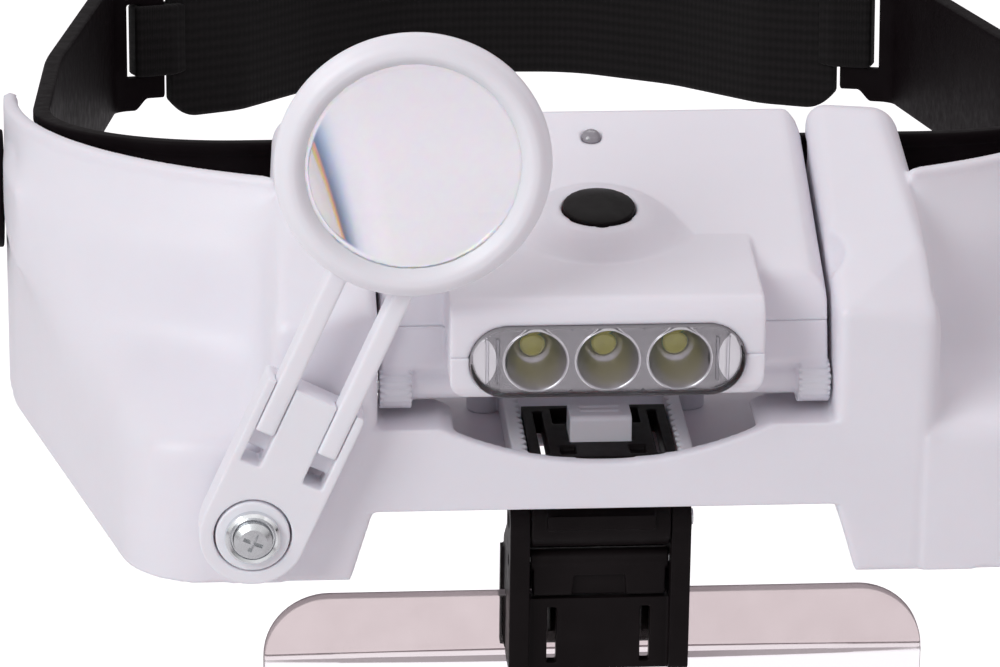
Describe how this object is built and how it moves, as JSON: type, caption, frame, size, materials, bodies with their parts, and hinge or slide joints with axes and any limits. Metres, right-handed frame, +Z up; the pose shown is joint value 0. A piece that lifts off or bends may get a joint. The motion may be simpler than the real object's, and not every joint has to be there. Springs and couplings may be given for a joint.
{
  "type": "lighted headband magnifier",
  "caption": "White head-worn magnifier with a black band, a tilting visor, a lamp unit with chromed cups, a swinging round loupe and a clear lens plate on a sliding holder.",
  "frame": {"origin": "centre of the head loop, at the level where its plane crosses the middle of the band", "axes": "+Z up as worn, -Y the way the wearer looks, +X the wearer's left"},
  "size_m": [0.1962, 0.2592, 0.1319],
  "materials": {
    "white_plastic": "moulded white, fine satin grain",
    "black_plastic": "moulded black, satin",
    "track_plastic": "white, smooth",
    "pad_foam": "closed-cell foam with a soft skin",
    "strap_elastic": "woven elastic, fine ribs",
    "bright_steel": "bright zinc plated",
    "chrome": "polished",
    "clear_lens": "clear acrylic, polished",
    "clear_window": "clear, polished",
    "smoke_plastic": "translucent grey",
    "board_green": "solder mask",
    "lamp_chip": "yellow-green phosphor",
    "cell_foil": "satin foil"
  },
  "bodies": {
    "headband": {"headband_frame": "black_plastic", "brow_pad": "pad_foam", "elastic_strap": "strap_elastic", "pivot_bolts": "bright_steel", "pivot_washers": "black_plastic"},
    "visor": {"visor_shell": "white_plastic", "rack_track": "track_plastic", "track_screws": "bright_steel", "lamp_hinge_pins": "bright_steel", "loupe_bush": "white_plastic", "loupe_cup_washer": "chrome", "loupe_screw": "bright_steel"},
    "knob_left": {"clamp_knob_left": "black_plastic"},
    "knob_right": {"clamp_knob_right": "black_plastic"},
    "lamp": {"lamp_upper_cover": "white_plastic", "lamp_lower_cover": "white_plastic", "lamp_cover_screws": "bright_steel", "light_window": "clear_window", "reflector": "chrome", "led_board": "board_green", "led_chips": "lamp_chip", "main_board": "board_green", "board_screws": "bright_steel", "tact_switch": "black_plastic", "indicator_lens": "smoke_plastic", "battery_cell": "cell_foil", "charge_socket": "bright_steel"},
    "power_button_body": {"power_button": "black_plastic", "switch_plunger": "black_plastic"},
    "loupe_arm": {"loupe_base_arm": "white_plastic"},
    "loupe": {"loupe_ring": "white_plastic", "loupe_lens": "clear_lens"},
    "carriage": {"lens_carriage": "black_plastic", "holder_hinge_pin": "bright_steel"},
    "latch": {"release_latch": "white_plastic"},
    "holder": {"lens_holder": "black_plastic", "lever_pin": "bright_steel"},
    "lever": {"clip_lever": "black_plastic"},
    "lens": {"lens_plate": "clear_lens"}
  },
  "joints": [
    {"name": "visor_tilt", "type": "hinge", "parent": "headband", "child": "visor", "pos_m": [0, -0.062, 0.0086], "axis": [-1, 0, 0], "range_deg": [0, 45]},
    {"name": "knob_left_turn", "type": "hinge", "parent": "headband", "child": "knob_left", "pos_m": [-0.093, -0.062, 0.0086], "axis": [-1, 0, 0], "continuous": true},
    {"name": "knob_right_turn", "type": "hinge", "parent": "headband", "child": "knob_right", "pos_m": [0.093, -0.062, 0.0086], "axis": [1, 0, 0], "continuous": true},
    {"name": "lamp_tilt", "type": "hinge", "parent": "visor", "child": "lamp", "pos_m": [0, -0.134, 0.0036], "axis": [1, 0, 0], "range_deg": [0, 30]},
    {"name": "button_press", "type": "slide", "parent": "lamp", "child": "power_button_body", "axis": [0, 0.1564, -0.9877], "range_m": [0, 0.0006], "stiffness_N_per_m": 300},
    {"name": "loupe_swing", "type": "hinge", "parent": "visor", "child": "loupe_arm", "pos_m": [-0.052, -0.144, -0.0144], "axis": [0, -1, 0], "range_deg": [-4, 225]},
    {"name": "loupe_extend", "type": "slide", "parent": "loupe_arm", "child": "loupe", "axis": [0.4019, 0, 0.9157], "range_m": [-0.005, 0.004]},
    {"name": "carriage_slide", "type": "slide", "parent": "visor", "child": "carriage", "axis": [0, 1, 0], "range_m": [0, 0.012]},
    {"name": "latch_press", "type": "slide", "parent": "carriage", "child": "latch", "axis": [0, 0, -1], "range_m": [0, 0.001], "stiffness_N_per_m": 300},
    {"name": "holder_flip", "type": "hinge", "parent": "carriage", "child": "holder", "pos_m": [0, -0.131, -0.0195], "axis": [-1, 0, 0], "range_deg": [-15, 15]},
    {"name": "lever_release", "type": "hinge", "parent": "holder", "child": "lever", "pos_m": [0, -0.1316, -0.0258], "axis": [-1, 0, 0], "range_deg": [0, 15], "stiffness_Nm_per_rad": 0.05},
    {"name": "lens_slide", "type": "slide", "parent": "holder", "child": "lens", "axis": [0, 0, -1], "range_m": [0, 0.012]}
  ]
}
